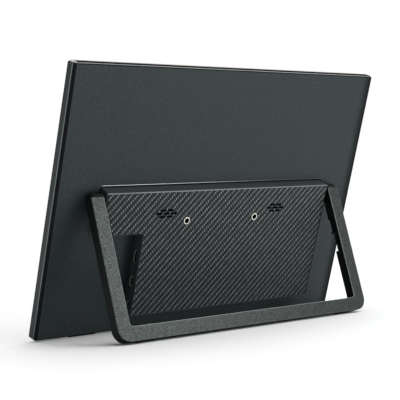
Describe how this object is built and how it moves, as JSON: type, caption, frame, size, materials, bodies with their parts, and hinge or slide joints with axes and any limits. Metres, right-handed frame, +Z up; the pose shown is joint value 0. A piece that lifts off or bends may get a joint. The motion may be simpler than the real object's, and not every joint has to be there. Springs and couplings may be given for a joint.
{
  "type": "portable monitor",
  "caption": "Thin portable monitor with a box-shaped rear housing, a corner notch for its sockets and a U-shaped stand that swings out on friction hinges.",
  "frame": {"origin": "centre of the bounding box, on the surface that the monitor stands on", "axes": "+Z up, +Y towards the rear with the stand, +X to the right of a person facing the screen"},
  "size_m": [0.325, 0.084, 0.2121],
  "materials": {
    "bezel_black": "satin black polymer",
    "tape_black": "matt adhesive tape",
    "screen_glass": "glossy dark screen",
    "film_white": "matt white film",
    "guide_clear": "polished light guide",
    "strip_white": "lamp strip",
    "bare_aluminium": "bare rolled sheet",
    "circuit_board": "green solder mask",
    "foam_black": "closed-cell foam",
    "frame_graphite": "anodised, bead-blasted, with bright arrises",
    "cover_graphite": "anodised, bead-blasted",
    "housing_graphite": "fine-textured paint",
    "twill_sheet": "satin sheet with a carbon twill pattern",
    "insert_brass": "turned brass",
    "chip_black": "moulded packages",
    "socket_steel": "plated stamped steel",
    "speaker_black": "moulded box",
    "cone_grey": "pressed cone",
    "lead_red": "insulated twin lead",
    "flat_cable": "polyimide flat cable",
    "button_black": "satin",
    "bright_steel": "plated",
    "hinge_steel": "turned and pressed steel",
    "stand_black": "black anodised",
    "stand_grey": "sandblasted grey",
    "foot_rubber": "matt rubber"
  },
  "bodies": {
    "display": {"front_bezel": "bezel_black", "bezel_tape": "tape_black", "lcd_cell": "screen_glass", "optical_films": "film_white", "light_guide": "guide_clear", "led_strip": "strip_white", "backlight_tray": "bare_aluminium", "panel_driver_board": "circuit_board", "panel_pads": "foam_black", "mid_frame": "frame_graphite", "chassis_plate": "bare_aluminium", "chassis_screws": "bright_steel", "rear_cover": "cover_graphite", "slab_feet": "foot_rubber", "housing_cover": "housing_graphite", "patterned_sheet": "twill_sheet", "housing_screws": "bright_steel", "mount_inserts": "insert_brass", "main_board": "circuit_board", "board_components": "chip_black", "board_screws": "bright_steel", "video_port": "socket_steel", "oval_port_upper": "socket_steel", "oval_port_lower": "socket_steel", "speaker_right": "speaker_black", "speaker_left": "speaker_black", "speaker_cones": "cone_grey", "speaker_gaskets": "foam_black", "speaker_pads": "foam_black", "speaker_leads": "lead_red", "button_board": "circuit_board", "button_board_screws": "bright_steel", "button_cable": "flat_cable", "display_cable": "flat_cable", "rocker_pin": "bright_steel", "hinge_bracket_right": "hinge_steel", "hinge_bracket_left": "hinge_steel", "hinge_screws": "bright_steel", "friction_washers": "insert_brass"},
    "stand": {"stand_frame": "stand_black", "stand_face": "stand_grey", "stand_feet": "foot_rubber", "hinge_pin_right": "hinge_steel", "hinge_pin_left": "hinge_steel", "spring_washers": "hinge_steel", "hinge_nuts": "bright_steel"},
    "power_button": {"power_button": "button_black"},
    "menu_rocker": {"menu_rocker": "button_black"}
  },
  "joints": [
    {"name": "stand_hinge", "type": "hinge", "parent": "display", "child": "stand", "pos_m": [0, 0.00688, 0.10934], "axis": [1, 0, 0], "range_deg": [-34, 56]},
    {"name": "power_button_press", "type": "slide", "parent": "display", "child": "power_button", "axis": [1, 0, 0], "range_m": [0, 0.0004], "stiffness_N_per_m": 3000, "springref_m": -0.0003},
    {"name": "menu_rocker_tilt", "type": "hinge", "parent": "display", "child": "menu_rocker", "pos_m": [-0.11752, -0.00873, 0.06257], "axis": [0, 0.9511, -0.3089], "range_deg": [-4, 4], "stiffness_Nm_per_rad": 0.15}
  ]
}
